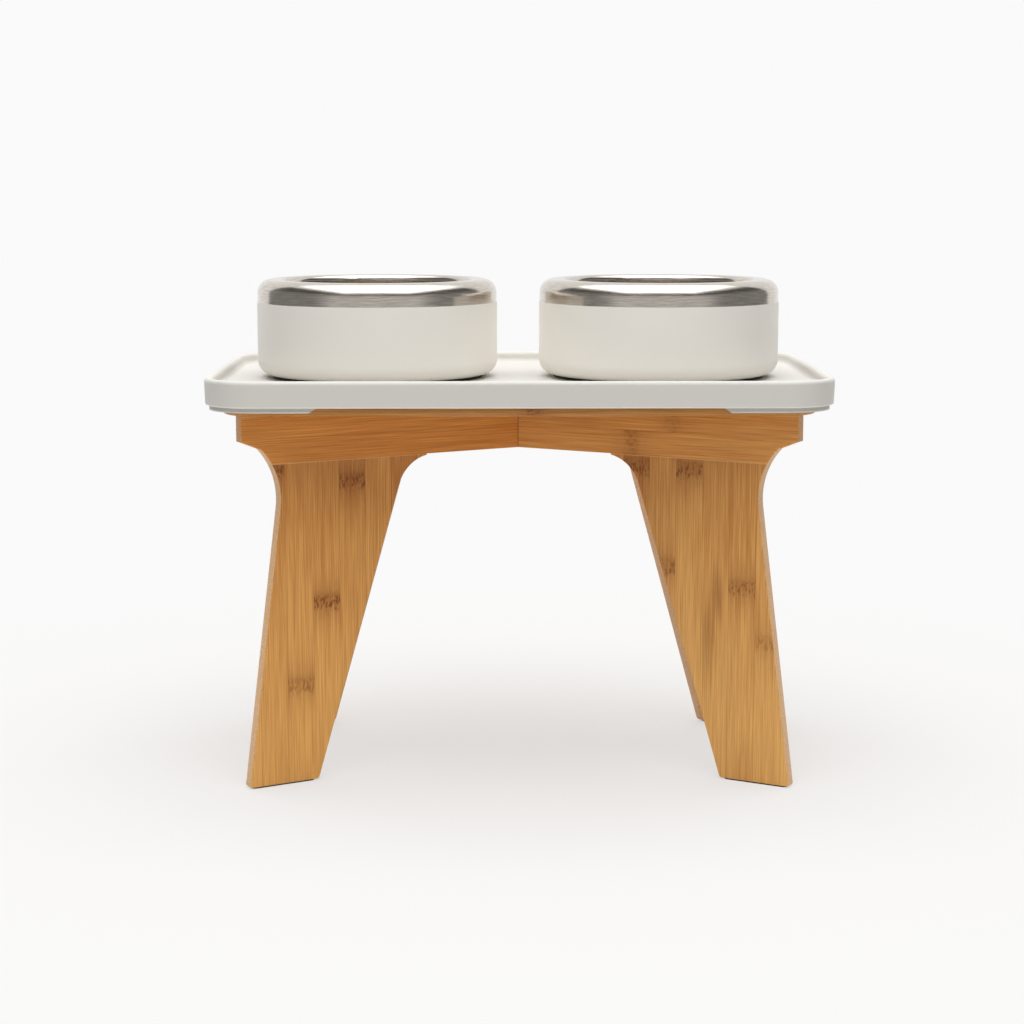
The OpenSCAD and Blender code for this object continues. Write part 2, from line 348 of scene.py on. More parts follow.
    def tone(self, tree: Tree, fibres: Node, chance: Node, along: Node) -> Node:
        """Works out how light the wood is, from its strip, its fibres and a painted shade gradient along the
        grain.

        Args:
            tree: The material's node tree.
            fibres: The fibre pattern.
            chance: The strip's own random number.
            along: Place along the grain, in mm.

        Returns:
            A node that is 0 for dark and 1 for light.
        """
        by_strip = add(tree, "Math", chance, self.strip_tone, self.least_tone, operation="MULTIPLY_ADD")
        tone = add(tree, "Math", fibres, self.fibre_tone, by_strip, operation="MULTIPLY_ADD", use_clamp=True)
        if self.shade_gradient_mm is None:
            return tone
        # Painted shade and light: the tone darkens towards the top of a leg under the tray and pales towards
        # its foot
        shade_gradient = add(tree, "MapRange", along, *self.shade_gradient_mm, *self.shade_gradient_tone)
        return add(tree, "Math", tone, shade_gradient, operation="ADD")

    def seam_mask(self, tree: Tree, strip: Node) -> Node:
        """Draws the thin line between two strips.

        Args:
            tree: The material's node tree.
            strip: Place across the strips, in strips.

        Returns:
            A node from 0 to 1.
        """
        inside = add(tree, "Math", strip, operation="FRACT")
        away = add(tree, "Math", inside, 0.5, operation="PINGPONG")
        seam = add(tree, "Math", away, self.seam_mm / self.strip_mm, operation="LESS_THAN")
        return add(tree, "Math", seam, self.seam_share, operation="MULTIPLY")

    def knot_mask(self, tree: Tree, across: Node, along: Node, grid: Node) -> Node | None:
        """Draws the node bands, one strip wide and ragged along the grain, each with a soft brown cloud.

        Args:
            tree: The material's node tree.
            across: Place across the strips, in mm.
            along: Place along the grain, in mm.
            grid: Both of these and the place through the thickness, in mm.

        Returns:
            A node from 0 to 1, or None where the piece has no knots.
        """
        width, length = self.tick_mm
        drawn = add(tree, "Mapping", grid, named={"Scale": (1 / width, 1 / length, 1 / width)})
        ragged = add(tree, "TexNoise", drawn, 1.0, 1.0)
        ticks = add(tree, "MapRange", ragged, 0.5, 0.6, 0.25, 1.0)
        centred = add(tree, "Math", ragged, 0.5, operation="SUBTRACT")
        marks = []
        for knot in self.knots:
            strip = math.floor((knot.across + self.offset_mm) / self.strip_mm)
            middle = (strip + 0.5) * self.strip_mm - self.offset_mm
            beside = add(tree, "Math", across, middle, operation="SUBTRACT")
            beside = add(tree, "Math", beside, operation="ABSOLUTE")
            inside = add(tree, "Math", beside, self.strip_mm / 2, operation="LESS_THAN")
            up = add(tree, "Math", along, knot.along, operation="SUBTRACT")
            up = add(tree, "Math", centred, self.ragged_mm, up, operation="MULTIPLY_ADD")
            up = add(tree, "Math", up, operation="ABSOLUTE")
            band = add(tree, "Math", falloff(tree, up, knot.half_mm, 4.0), ticks, operation="MULTIPLY")
            cloud = add(tree, "Math", falloff(tree, up, knot.cloud_mm, 2.0), self.cloud_share,
                        operation="MULTIPLY")
            mark = add(tree, "Math", band, self.band_share, cloud, operation="MULTIPLY_ADD")
            mark = add(tree, "Math", mark, inside, operation="MULTIPLY")
            marks.append(add(tree, "Math", mark, knot.strength, operation="MULTIPLY"))
        return strongest(tree, marks)

    def stain_and_shade_mask(self, tree: Tree, across: Node, along: Node, fibres: Node) -> Node | None:
        """Draws the soft streaks and the patches of painted shade, broken up by the fibres.

        Args:
            tree: The material's node tree.
            across: Place across the strips, in mm.
            along: Place along the grain, in mm.
            fibres: The fibre pattern.

        Returns:
            A node from 0 to 1, or None where the piece has no streaks and no painted shade.
        """
        broken = add(tree, "Math", fibres, -0.5, 1.1, operation="MULTIPLY_ADD")
        marks = []
        for stain in self.stains_and_shade:
            up = add(tree, "Math", along, stain.along, operation="SUBTRACT")
            beside = add(tree, "Math", across, stain.across, operation="SUBTRACT")
            soft = add(tree, "Math", falloff(tree, up, stain.length, 2.0),
                       falloff(tree, beside, stain.width, 2.0), operation="MULTIPLY")
            mark = add(tree, "Math", soft, broken, operation="MULTIPLY")
            marks.append(add(tree, "Math", mark, stain.strength, operation="MULTIPLY"))
        return strongest(tree, marks)

    def glue_mask(self, tree: Tree, along: Node) -> Node | None:
        """Draws the pale glue line at the end of a leg.

        Args:
            tree: The material's node tree.
            along: Place along the grain, in mm.

        Returns:
            A node from 0 to 1, or None where the piece has no glue line.
        """
        if self.glue_mm is None:
            return None
        away = add(tree, "Math", along, self.glue_mm, operation="SUBTRACT")
        away = add(tree, "Math", away, operation="ABSOLUTE")
        line = add(tree, "Math", away, self.glue_half_mm, operation="LESS_THAN")
        return add(tree, "Math", line, self.pale_share, operation="MULTIPLY")

    def arris_highlight_mask(self, tree: Tree, across: Node) -> Node | None:
        """Paints a pale highlight along the top edge of a rail.

        Args:
            tree: The material's node tree.
            across: Place across the strips, in mm.

        Returns:
            A node from 0 to 1, or None where the piece has no rubbed edge.
        """
        if self.arris_highlight_mm is None:
            return None
        # Painted highlight: the rail's top edge is drawn paler, as if it caught the light
        painted_highlight = add(tree, "Math", across, self.arris_highlight_mm, operation="GREATER_THAN")
        return add(tree, "Math", painted_highlight, self.pale_share, operation="MULTIPLY")


@dataclass(frozen=True)
class CutWood:
    """Wood cut across its fibres and sanded: paler than a face, with short specks.

    Args:
        name: Name of the material.
        light: Colour of the palest specks as sRGB hex.
        dark: Colour of the darkest specks as sRGB hex.
        speck_mm: Width of a speck, drawn as coarse as it needs to show.
        depth_mm: Height of the specks.
        roughness: Roughness of the sanded wood.
    """

    name: str
    light: str
    dark: str
    speck_mm: float = 1.2
    depth_mm: float = 0.04
    roughness: float = 0.55

    def material(self) -> bpy.types.Material:
        """Builds the material.

        Returns:
            The finished material.
        """
        material, tree = new_material(self.name)
        place = add(tree, "TexCoord").outputs["Object"]
        speck = add(tree, "TexNoise", place, 1 / (self.speck_mm * MM), 3.0)
        tone = add(tree, "MapRange", speck, 0.3, 0.7)
        colour = add(tree, "Mix", tone, linear(self.dark), linear(self.light), data_type="RGBA")
        bump = add(tree, "Bump", named={"Height": speck, "Distance": self.depth_mm * MM, "Strength": 0.5})
        sanded = add(tree, "BsdfPrincipled", named={"Base Color": colour, "Roughness": self.roughness,
                                                    "Normal": bump})
        add(tree, "OutputMaterial", sanded)
        return material


@dataclass(frozen=True)
class PaintedLightBand:
    """A level stretch of a moulding painted paler than the rest as a highlight, or darker as shade.

    Args:
        low_mm: Height of its lower side.
        high_mm: Height of its upper side.
        gain: What the colour is multiplied by.
    """

    low_mm: float
    high_mm: float
    gain: float


@dataclass(frozen=True)
class FineGrained:
    """A moulded or sprayed surface with one colour, a faint mottle and a fine grain.

    Args:
        name: Name of the material.
        colour: Colour as sRGB hex.
        roughness: Mean roughness.
        grain_mm: Width of a grain, drawn as coarse as it needs to show.
        depth_mm: Height of the grain.
        spread: How far the roughness wanders.
        mottle: How far the colour wanders, as a share.
        cloud_mm: Width of a patch of that mottle.
        ior: Index of refraction.
        bands: Level stretches painted paler as highlights or darker as shade.
    """

    name: str
    colour: str
    roughness: float
    grain_mm: float
    depth_mm: float
    spread: float = 0.12
    mottle: float = 0.03
    cloud_mm: float = 1000 / 18
    ior: float = 1.5
    bands: tuple[PaintedLightBand, ...] = ()

    def material(self) -> bpy.types.Material:
        """Builds the material.

        Returns:
            The finished material.
        """
        material, tree = new_material(self.name)
        place = add(tree, "TexCoord").outputs["Object"]
        grain = add(tree, "TexNoise", place, 1 / (self.grain_mm * MM), 2.0)
        cloud = add(tree, "TexNoise", place, 1 / (self.cloud_mm * MM), 2.0)
        base = linear(self.colour)
        low = (*[c * (1 - self.mottle) for c in base[:3]], 1.0)
        shade = add(tree, "Mix", cloud, low, base, data_type="RGBA")
        height = add(tree, "SeparateXYZ", place).outputs["Z"]
        height = add(tree, "Math", height, MM, operation="DIVIDE")
        # Painted highlights and painted shade, one level stretch at a time
        for band in self.bands:
            away = add(tree, "Math", height, (band.low_mm + band.high_mm) / 2, operation="SUBTRACT")
            away = add(tree, "Math", away, operation="ABSOLUTE")
            inside = add(tree, "Math", away, (band.high_mm - band.low_mm) / 2, operation="LESS_THAN")
            gain = add(tree, "Math", inside, band.gain - 1, 1.0, operation="MULTIPLY_ADD")
            shade = add(tree, "VectorMath", shade, gain, operation="SCALE")
        smoothest = self.roughness - self.spread / 2
        rough = add(tree, "Math", grain, self.spread, smoothest, operation="MULTIPLY_ADD")
        bump = add(tree, "Bump", named={"Height": grain, "Distance": self.depth_mm * MM, "Strength": 0.6})
        surface = add(tree, "BsdfPrincipled", named={"Base Color": shade, "Roughness": rough,
                                                     "IOR": self.ior, "Normal": bump})
        add(tree, "OutputMaterial", surface)
        return material


@dataclass(frozen=True)
class BrushedSteel:
    """Steel brushed round an axis: fine level lines that draw reflections out sideways.

    Args:
        name: Name of the material.
        axis_mm: Place of the axis along X.
        colour: Colour of the metal as sRGB hex.
        roughness: Mean roughness.
        spread: How far the roughness wanders.
        line_mm: Width of a brush line, drawn as coarse as it needs to show.
        depth_mm: Depth of the lines.
        basin_mm: Distances from the axis between which the polish of the bowl's inside ends.
        polish: Share of the roughness that is left inside.
    """

    name: str
    axis_mm: float = 0.0
    colour: str = "#D2CAC0"
    roughness: float = 0.2
    spread: float = 0.16
    line_mm: float = 0.7
    depth_mm: float = 0.012
    basin_mm: tuple[float, float] = (68.5, 70.5)
    polish: float = 0.4

    def material(self) -> bpy.types.Material:
        """Builds the material.

        Returns:
            The finished steel material.
        """
        material, tree = new_material(self.name)
        place = add(tree, "TexCoord").outputs["Object"]
        centred = add(tree, "Mapping", place, named={"Location": (-self.axis_mm * MM, 0, 0)})
        x, y, z = add(tree, "SeparateXYZ", centred).outputs
        flat = add(tree, "CombineXYZ", x, y)
        radius = add(tree, "VectorMath", flat, operation="LENGTH")
        turn = add(tree, "Math", y, x, operation="ARCTAN2")
        turn = add(tree, "Math", turn, operation="ABSOLUTE")
        out, up = (add(tree, "Math", way, self.line_mm * MM, operation="DIVIDE") for way in (radius, z))
        lines = add(tree, "CombineXYZ", out, add(tree, "Math", turn, 6.0, operation="MULTIPLY"), up)
        brush = add(tree, "TexNoise", lines, 1.0, 3.0)
        gain = add(tree, "MapRange", brush, 0.3, 0.7, 0.8, 1.12)
        metal = add(tree, "VectorMath", linear(self.colour)[:3], gain, operation="SCALE")
        basin = add(tree, "MapRange", radius, *[r * MM for r in self.basin_mm], self.polish, 1.0)
        smoothest = self.roughness - self.spread / 2
        rough = add(tree, "Math", brush, self.spread, smoothest, operation="MULTIPLY_ADD")
        rough = add(tree, "Math", rough, basin, operation="MULTIPLY")
        tangent = add(tree, "Tangent", direction_type="RADIAL", axis="Z")
        bump = add(tree, "Bump", named={"Height": brush, "Distance": self.depth_mm * MM, "Strength": 0.5})
        brushed = add(tree, "BsdfPrincipled", named={"Base Color": metal, "Metallic": 1.0, "Roughness": rough,
                                                     "Anisotropic": 0.6, "Anisotropic Rotation": 0.25,
                                                     "Tangent": tangent, "Normal": bump})
        add(tree, "OutputMaterial", brushed)
        return material


# Sawn and sanded edges of the bamboo panels: pale, with short cut fibres
CUT_EDGE = CutWood("bamboo_cut_edge", "#F0C99C", "#D6A574")
# End grain of the rails: browner than the edges
END_GRAIN = CutWood("bamboo_end_grain", "#E6B484", "#C48F60")
# Plain beech, sanded: pale and even
DOWEL_WOOD = CutWood("beech_dowel", "#D9B48A", "#BF9468")
# Lacquered bamboo board with strips along the tray, browner than the panels; part of that darkness is painted
# shade from the tray above it
BOARD_WOOD_WITH_SHADE = Bamboo("bamboo_board_painted_shade", Grain.ALONG_TRAY, knots=(Knot(-126.0, 11.0, 0.8), Knot(40.0, -90.0)),
                    light="#D49C52", dark="#98571C")
# Moulded polypropylene: off-white, matt, with a fine spark-eroded grain. The lower edges of the skirt and
# the corner tabs carry painted highlights, and the tabs' recessed face under the skirt carries painted shade
TRAY_PLASTIC = FineGrained("moulded_polypropylene", "#DBD8D2", 0.5, 0.5, 0.02, bands=(
    PaintedLightBand(275.0, 276.4, 1.12), PaintedLightBand(276.4, 278.9, 0.75), PaintedLightBand(278.9, 280.0, 1.25)))
# Powder coat: warm white, matt, with a slight orange peel
BOWL_COAT = FineGrained("powder_coat", "#F1EDE5", 0.42, 0.8, 0.02)
# Rubber: near black and dull
RUBBER = FineGrained("black_rubber", "#1C1B1A", 0.75, 0.6, 0.03)
# Zinc plated steel: cool grey, duller than the bowls
SCREW_STEEL = BrushedSteel("zinc_plated_steel", colour="#B9BBBD", roughness=0.35)


def deselect() -> None:
    """Leaves edit mode and deselects every object."""
    if bpy.context.object and bpy.context.object.mode != "OBJECT":
        bpy.ops.object.mode_set(mode="OBJECT")
    bpy.ops.object.select_all(action="DESELECT")


def activate(piece: bpy.types.Object) -> None:
    """Selects one object alone and makes it active.

    Args:
        piece: Object to select.
    """
    deselect()
    piece.select_set(True)
    bpy.context.view_layer.objects.active = piece


def mark_edges(piece: bpy.types.Object, wanted: Callable[[Vector, Vector], bool]) -> None:
    """Enters edit mode with only the wanted edges selected.

    Args:
        piece: Mesh object.
        wanted: Takes an edge's two ends and says whether it is selected.
    """
    activate(piece)
    bpy.ops.object.mode_set(mode="EDIT")
    bpy.ops.mesh.select_mode(type="EDGE")
    bpy.ops.mesh.select_all(action="DESELECT")
    bpy.ops.object.mode_set(mode="OBJECT")
    mesh = piece.data
    for edge in mesh.edges:
        a, b = (mesh.vertices[i].co for i in edge.vertices)
        edge.select = wanted(a, b)
    bpy.ops.object.mode_set(mode="EDIT")


def copy_of(piece: bpy.types.Object, name: str) -> bpy.types.Object:
    """Copies an object with a mesh of its own.

    Args:
        piece: Object to copy.
        name: Name of the copy and its mesh.

    Returns:
        The copy.
    """
    twin = piece.copy()
    twin.data = piece.data.copy()
    twin.name = twin.data.name = name
    bpy.context.scene.collection.objects.link(twin)
    return twin


def keep_side(piece: bpy.types.Object, point: Vector, normal: Vector) -> None:
    """Cuts a closed mesh by a plane, keeps what the normal points to and closes the cut.

    Args:
        piece: Mesh object.
        point: Point of the plane.
        normal: Direction of the part that stays.
    """
    activate(piece)
    bpy.ops.object.mode_set(mode="EDIT")
    bpy.ops.mesh.select_all(action="SELECT")
    bpy.ops.mesh.bisect(plane_co=point, plane_no=normal, use_fill=True, clear_inner=True,
                        threshold=CUT_TOLERANCE)
    bpy.ops.object.mode_set(mode="OBJECT")


def apply_modifiers(piece: bpy.types.Object) -> None:
    """Applies an object's modifiers in order.

    Args:
        piece: Object with the modifiers.
    """
    activate(piece)
    for name in [m.name for m in piece.modifiers]:
        bpy.ops.object.modifier_apply(modifier=name)


def assign(node: str, material: bpy.types.Material) -> None:
    """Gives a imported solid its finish.

    Args:
        node: Name of the node.
        material: Material for all its faces.
    """
    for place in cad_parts[node].material_slots:
        place.material = material
    LOG.info("%s: %s", node, material.name)


@dataclass
class PanelSizes:
    """Sizes of the crossed panels in mm, as distance from the crossing and height.

    Args:
        reach: Distance of a rail's end from the crossing.
        thickness: Thickness of a panel.
        board_z: Height of the board's underside.
        rail_h: Height of a rail.
        rail_end_h: Height of a rail's end face.
        brow_angle: Slope of the rail's underside at its end.
        brow_w: Length of that slope, measured level.
        throat_r: Radius of the hollow outside the leg.
        crotch_r: Radius of the hollow inside the leg.
        tip_h: Height of the leg's blunt tip under the rail.
        foot_setback: How far the heel stands back from the rail's end.
        foot_w: Width of a foot.
        foot_chamfer: Size of the chamfers on a foot's corners.
        leg_out_angle: Lean of the leg's outer edge.
        leg_in_angle: Lean of the leg's inner edge.
        pad_h: Height of the rubber pad under a foot.
        ease: Radius of the eased edges.
        lap_play: Play on each side of the crossing's notches.
        clear_of_cut: How far the rail's underside stays off the plane that cuts the glue line.
        arc_steps: Steps of each arc.
    """

    reach: float = 229.1
    thickness: float = 10.0
    board_z: float = 272.0
    rail_h: float = 36.0
    rail_end_h: float = 19.0
    brow_angle: float = math.radians(22)
    brow_w: float = 15.3
    throat_r: float = 53.0
    crotch_r: float = 30.0
    tip_h: float = 1.0
    foot_setback: float = 2.5
    foot_w: float = 54.5
    foot_chamfer: float = 1.0
    leg_out_angle: float = math.radians(7.6)
    leg_in_angle: float = math.radians(17.7)
    pad_h: float = 1.0
    ease: float = 1.0
    lap_play: float = 0.1
    clear_of_cut: float = 0.02
    arc_steps: int = 20

    @property
    def glue_z(self) -> float:
        """Height of the glue line between rail and leg."""
        return self.board_z - self.rail_h

    def half_outline(self, for_rail: bool) -> list[Point]:
        """Outline of one half of a blank that the glue line then cuts, from its top outer corner inwards.

        Args:
            for_rail: Whether the rail is cut from it. The legs' blank has the hollow inside the leg.

        Returns:
            Points as distance from the crossing and height.
        """
        out = Vector((math.sin(self.leg_out_angle), -math.cos(self.leg_out_angle)))
        inwards = Vector((math.sin(self.leg_in_angle), -math.cos(self.leg_in_angle)))
        end = Vector((self.reach, self.board_z - self.rail_end_h))
        brow_end = end - Vector((self.brow_w, self.brow_w * math.tan(self.brow_angle)))
        heel = Vector((self.reach - self.foot_setback, self.pad_h))
        toe = heel - Vector((self.foot_w, 0))
        points = [Vector((self.reach, self.board_z)), end]
        points += self.throat(brow_end, heel, out)
        points += [heel - self.foot_chamfer * out, heel - Vector((self.foot_chamfer, 0)),
                   toe + Vector((self.foot_chamfer, 0)), toe - self.foot_chamfer * inwards]
        hollow = self.hollow(toe, inwards)
        tip = hollow[-1].x
        if for_rail:
            underside = self.glue_z + self.clear_of_cut
            points += [Vector((tip, self.glue_z - self.rail_h)), Vector((tip, underside))]
        else:
            points += hollow + [Vector((tip, self.glue_z + self.rail_h / 2))]
        return [(p.x, p.y) for p in points]

    def throat(self, brow_end: Vector, heel: Vector, out: Vector) -> list[Vector]:
        """Hollow that starts at the brow's end and runs out on the leg's outer edge.

        Args:
            brow_end: Where the sloped underside of the rail ends.
            heel: Outer corner of the foot.
            out: Direction of the leg's outer edge, downwards.

        Returns:
            Points of the arc, downwards.
        """
        side = heel + self.throat_r * Vector((-out.y, out.x))
        gap = side - brow_end
        back = gap.dot(out)
        centre = side - out * (back - math.sqrt(back ** 2 - gap.length_squared + self.throat_r ** 2))
        return self.arc(centre, brow_end, centre + self.throat_r * Vector((out.y, -out.x)))

    def hollow(self, toe: Vector, inwards: Vector) -> list[Vector]:
        """Hollow between the leg's inner edge and the rail, which ends in a blunt tip.

        Args:
            toe: Inner corner of the foot.
            inwards: Direction of the leg's inner edge, downwards.

        Returns:
            Points of the arc, upwards.
        """
        rise = self.glue_z - self.tip_h / 2 - toe.y
        corner = Vector((toe.x - rise * math.tan(self.leg_in_angle), toe.y + rise))
        half = math.acos(-inwards.x) / 2
        way = (inwards + Vector((-1, 0))).normalized()
        centre = corner + way * (self.crotch_r / math.sin(half))
        sag = self.tip_h / 2
        tip = centre + Vector((math.sqrt(sag * (2 * self.crotch_r - sag)), self.crotch_r - sag))
        return self.arc(centre, corner + inwards * (self.crotch_r / math.tan(half)), tip)

    def arc(self, centre: Vector, start: Vector, finish: Vector) -> list[Vector]:
        """Points of an arc.

        Args:
            centre: Its centre.
            start: Its first point.
            finish: Its last point.

        Returns:
            Points from start to finish.
        """
        spoke = start - centre
        sweep = spoke.angle_signed(finish - centre)
        turns = [Matrix.Rotation(-sweep * i / self.arc_steps, 2) for i in range(self.arc_steps + 1)]
        return [centre + turn @ spoke for turn in turns]


@dataclass
class CrossedPanel:
    """One upright panel: a rail from corner to corner of the board, with a leg glued under each end.

    Args:
        rail: Name of the rail's node.
        angle: Direction of the panel about Z.
        legs: Names of the leg nodes at the far and the near end of the panel's direction.
        notch_up: Whether the rail's notch opens upwards.
        rail_tones: Light and dark colour of the rail's bamboo.
        leg_tones: Light and dark colour of the legs' bamboo.
        rail_knots: Node bands of the rail.
        leg_knots: Node bands of the two legs.
        leg_stains_and_shade: Brown streaks of the two legs, and painted shade at the top of the front left
            leg.
        leg_offset: How far the legs' strips are shifted, in mm.
        rail_offset: How far the rail's strips are shifted, in mm.
        seed: Number that picks the tones of the rail's strips.
        leg_seed: What is added to it for the legs.
        leg_shade_gradient: Heights between which the legs go from painted shade at the top to painted light
            at the foot, in mm.
        arris_highlight_h: Height of the painted highlight along the rail's top edge, in mm.
        broad_share: Least share of a broad face's normal that points across the panel.
        end_share: Least share of an end face's normal that points along the panel.
        sizes: The panel's sizes.
    """

    rail: str
    angle: float
    legs: tuple[str, str]
    notch_up: bool
    rail_tones: Tones
    leg_tones: Tones
    rail_knots: tuple[Knot, ...]
    leg_knots: tuple[tuple[Knot, ...], tuple[Knot, ...]]
    leg_stains_and_shade: tuple[tuple[Stain, ...], tuple[Stain, ...]]
    leg_offset: float
    seed: float
    leg_seed: float = 40.0
    rail_offset: float = 1.4
    leg_shade_gradient: tuple[float, float] = (235.0, 40.0)
    arris_highlight_h: float = 1.6
    broad_share: float = 0.45
    end_share: float = 0.95
    sizes: PanelSizes = field(default_factory=PanelSizes)

    def build(self, edge: bpy.types.Material, end: bpy.types.Material) -> None:
        """Models the panel, cuts it into its rail and legs and dresses them.

        Args:
            edge: Material of the sawn edges.
            end: Material of the rail's end grain.
        """
        glue = Vector((0, 0, self.sizes.glue_z * MM))
        rail = self.blank(for_rail=True)
        rail.name = rail.data.name = self.rail + "_eased"
        keep_side(rail, glue, Vector((0, 0, 1)))
        whole = self.blank(for_rail=False)
        pieces = [rail]
        for name, way in zip(self.legs, (1, -1)):
            leg = copy_of(whole, name + "_eased")
            keep_side(leg, glue, Vector((0, 0, -1)))
            keep_side(leg, Vector((0, 0, 0)), Vector((way, 0, 0)))
            pieces.append(leg)
        bpy.data.objects.remove(whole)
        self.halve(rail)
        for piece, node, wood in zip(pieces, (self.rail, *self.legs), self.woods()):
            self.dress(piece, wood.material(), edge, end)
            piece.data.transform(Matrix.Rotation(self.angle, 4, "Z"))
            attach(piece, "stand")
            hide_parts(node)
            LOG.info("%s: %d faces", piece.name, len(piece.data.polygons))

    def woods(self) -> list[Bamboo]:
        """Chooses the bamboo of the rail, with a dark line where the rails meet, and of both legs.

        Returns:
            The rail's finish and the legs' finishes.
        """
        size = self.sizes
        meets_at = -size.thickness / 2 * math.tan(self.angle)
        crossing = Stain(size.board_z - size.rail_h / 2, meets_at, width=40.0, length=0.45, strength=0.75)
        woods = [Bamboo("bamboo_" + self.rail, Grain.ALONG_PANEL, self.angle, self.seed, self.rail_knots,
                        (crossing,), *self.rail_tones, offset_mm=self.rail_offset,
                        arris_highlight_mm=size.board_z - self.arris_highlight_h)]
        for name, knots, stains_and_shade in zip(self.legs, self.leg_knots, self.leg_stains_and_shade):
            woods.append(Bamboo("bamboo_" + name, Grain.UPRIGHT, self.angle, self.seed + self.leg_seed,
                                knots, stains_and_shade, *self.leg_tones, offset_mm=self.leg_offset,
                                shade_gradient_mm=self.leg_shade_gradient, glue_mm=size.glue_z))
        return woods

    def blank(self, for_rail: bool) -> bpy.types.Object:
        """Models a whole panel along X, with its edges eased.

        Args:
            for_rail: Whether the rail is cut from it, or else the legs.

        Returns:
            The panel before it is cut.
        """
        half = self.sizes.half_outline(for_rail)
        outline = half + [(-s, z) for s, z in reversed(half)]
        deselect()
        reach = self.sizes.reach * MM
        bpy.ops.mesh.primitive_circle_add(vertices=len(outline), radius=reach, fill_type="NGON")
        panel = bpy.context.object
        t = self.sizes.thickness * MM
        for vertex, (s, z) in zip(panel.data.vertices, outline):
            vertex.co = (s * MM, -t / 2, z * MM)
        bpy.ops.object.mode_set(mode="EDIT")
        bpy.ops.mesh.select_all(action="SELECT")
        bpy.ops.mesh.extrude_region_move(TRANSFORM_OT_translate={"value": (0, t, 0)})
        bpy.ops.mesh.select_all(action="SELECT")
        bpy.ops.mesh.normals_make_consistent(inside=False)
        mark_edges(panel, lambda a, b: abs(a.y - b.y) < t / 2)
        bpy.ops.mesh.bevel(offset=self.sizes.ease * MM, offset_type="OFFSET", segments=3, profile=0.5)
        deselect()
        return panel

    def halve(self, rail: bpy.types.Object) -> None:
        """Cuts the notch that lets the other rail cross this one.

        Args:
            rail: The rail, along X.
        """
        size = self.sizes
        middle = (size.glue_z + (size.rail_h if self.notch_up else 0)) * MM
        deselect()
        bpy.ops.mesh.primitive_cube_add(size=1, location=(0, 0, middle))
        cutter = bpy.context.object
        cutter.scale = (size.reach * MM, (size.thickness + 2 * size.lap_play) * MM, size.rail_h * MM)
        cutter.rotation_euler.z = -2 * self.angle
        cut = rail.modifiers.new("notch", "BOOLEAN")
        cut.operation = "DIFFERENCE"
        cut.object = cutter
        apply_modifiers(rail)
        bpy.data.objects.remove(cutter)

    def dress(self, piece: bpy.types.Object, *finishes: bpy.types.Material) -> None:
        """Gives the broad faces the bamboo figure, and the sawn edges and the rail's ends their own finish.

        Args:
            piece: Rail or leg, along X.
            *finishes: Materials of the broad faces, the edges and the rail's ends.
        """
        activate(piece)
        bpy.ops.object.shade_smooth_by_angle(angle=math.radians(35))
        piece.data.materials.clear()
        for finish in finishes:
            piece.data.materials.append(finish)
        for polygon in piece.data.polygons:
            on_rail = polygon.center.z > self.sizes.glue_z * MM
            face = Face.EDGE
            if abs(polygon.normal.y) > self.broad_share:
                face = Face.BROAD
            elif abs(polygon.normal.x) > self.end_share and on_rail:
                face = Face.END
            polygon.material_index = face.value


@dataclass
class Bowl:
    """One double-wall bowl: steel liner, coated shell, base plate and rubber ring.

    Args:
        side: Which of the two bowls it is.
        axis_mm: Distance of its axis from the middle of the tray.
    """

    side: Side
    axis_mm: float = 105.8

    def build(self, coat: bpy.types.Material, rubber: bpy.types.Material) -> None:
        """Dresses the bowl's solids.

        Args:
            coat: Material of the coated shell.
            rubber: Material of the base ring.
        """
        name = self.side.name.lower() + "_bowl"
        steel = BrushedSteel("brushed_stainless_" + name, self.side.value * self.axis_mm).material()
        for part, material in (("liner", steel), ("shell", coat), ("base", steel), ("ring", rubber)):
            assign(f"{name}_{part}", material)


